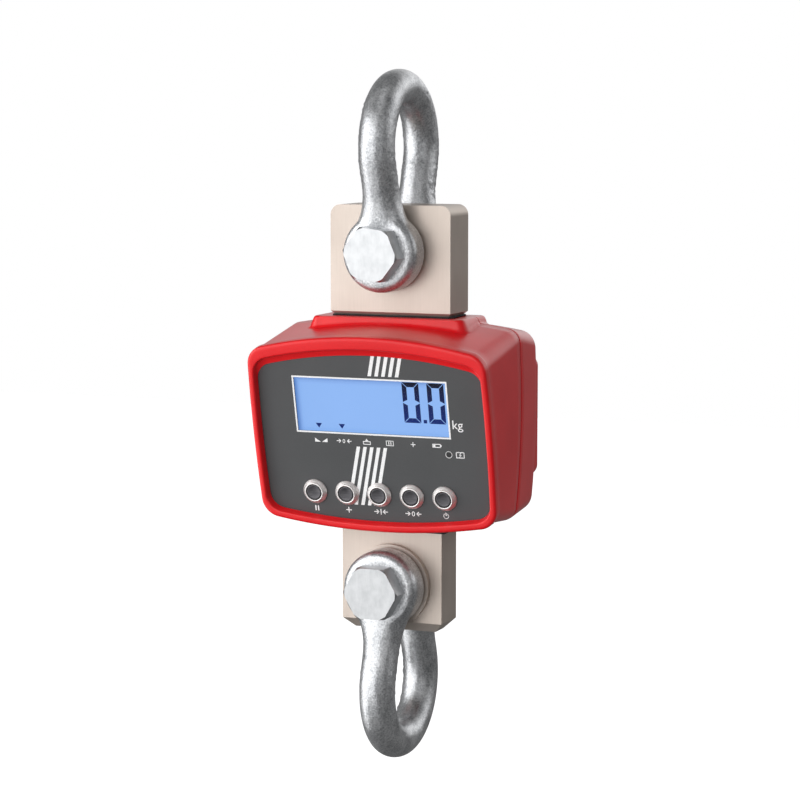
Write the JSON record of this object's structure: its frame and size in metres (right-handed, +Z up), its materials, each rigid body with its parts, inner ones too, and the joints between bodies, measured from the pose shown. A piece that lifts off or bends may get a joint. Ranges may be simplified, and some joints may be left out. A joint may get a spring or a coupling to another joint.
{
  "type": "crane scale",
  "caption": "Hanging crane scale: bow shackles above and below a steel load cell that carries a tilted display housing with push buttons.",
  "frame": {"origin": "the inside of the upper bow's crown, where a crane hook bears", "axes": "+Z up along the load line, -Y towards the display, +X to the right of a person reading it"},
  "size_m": [0.1586, 0.1196, 0.4344],
  "materials": {
    "galvanised": "satin",
    "bolt_steel": "satin",
    "nickel_plate": "satin",
    "red_coat": "satin",
    "panel_grey": "matte",
    "window": "gloss",
    "lcd": "gloss",
    "backlight": "gloss",
    "board": "satin",
    "black_plastic": "satin",
    "seal": "matte",
    "stainless": "polished",
    "fastener": "satin",
    "cell_wrap": "gloss",
    "foil": "satin"
  },
  "bodies": {
    "upper_shackle": {"upper_bow": "galvanised", "upper_bolt": "bolt_steel", "upper_nut": "bolt_steel", "upper_split_pin": "fastener"},
    "scale_body": {"load_cell": "nickel_plate", "strain_gauges": "foil", "gauge_covers": "fastener", "cable_gland": "fastener", "load_cell_cable": "seal", "front_housing": "red_coat", "rear_housing": "red_coat", "housing_gasket": "seal", "housing_screws": "fastener", "upper_lug_seal": "seal", "lower_lug_seal": "seal", "mounting_brackets": "fastener", "bracket_screws": "fastener", "front_panel": "panel_grey", "panel_studs": "fastener", "display_window": "window", "lcd_module": "lcd", "backlight": "backlight", "display_board": "board", "board_spacers": "fastener", "board_nuts": "fastener", "main_board": "board", "board_parts": "black_plastic", "board_ribbon": "black_plastic", "status_light": "black_plastic", "button_bezels": "stainless", "button_nuts": "fastener", "button_switches": "black_plastic", "battery_tray": "black_plastic", "battery_cells": "cell_wrap", "battery_lead": "seal", "battery_cover": "red_coat", "battery_cover_seal": "seal", "battery_cover_screws": "fastener", "charging_socket": "black_plastic", "charging_socket_nut": "fastener"},
    "lower_shackle": {"lower_bow": "galvanised", "lower_bolt": "bolt_steel", "lower_nut": "bolt_steel", "lower_split_pin": "fastener", "lower_spacers": "bolt_steel"},
    "hold_button": {"hold_button": "stainless"},
    "memory_button": {"memory_button": "stainless"},
    "tare_button": {"tare_button": "stainless"},
    "zero_button": {"zero_button": "stainless"},
    "power_button": {"power_button": "stainless"}
  },
  "joints": [
    {"name": "upper_shackle_swing", "type": "hinge", "parent": "upper_shackle", "child": "scale_body", "pos_m": [0, 0, -0.0904], "axis": [0, 1, 0], "range_deg": [-90, 90]},
    {"name": "lower_shackle_swing", "type": "hinge", "parent": "scale_body", "child": "lower_shackle", "pos_m": [0, 0, -0.2994], "axis": [0, 1, 0], "range_deg": [-90, 90]},
    {"name": "hold_press", "type": "slide", "parent": "scale_body", "child": "hold_button", "axis": [0, 0.9753, 0.2207], "range_m": [0, 0.001], "stiffness_N_per_m": 800},
    {"name": "memory_press", "type": "slide", "parent": "scale_body", "child": "memory_button", "axis": [0, 0.9753, 0.2207], "range_m": [0, 0.001], "stiffness_N_per_m": 800},
    {"name": "tare_press", "type": "slide", "parent": "scale_body", "child": "tare_button", "axis": [0, 0.9753, 0.2207], "range_m": [0, 0.001], "stiffness_N_per_m": 800},
    {"name": "zero_press", "type": "slide", "parent": "scale_body", "child": "zero_button", "axis": [0, 0.9753, 0.2207], "range_m": [0, 0.001], "stiffness_N_per_m": 800},
    {"name": "power_press", "type": "slide", "parent": "scale_body", "child": "power_button", "axis": [0, 0.9753, 0.2207], "range_m": [0, 0.001], "stiffness_N_per_m": 800}
  ]
}
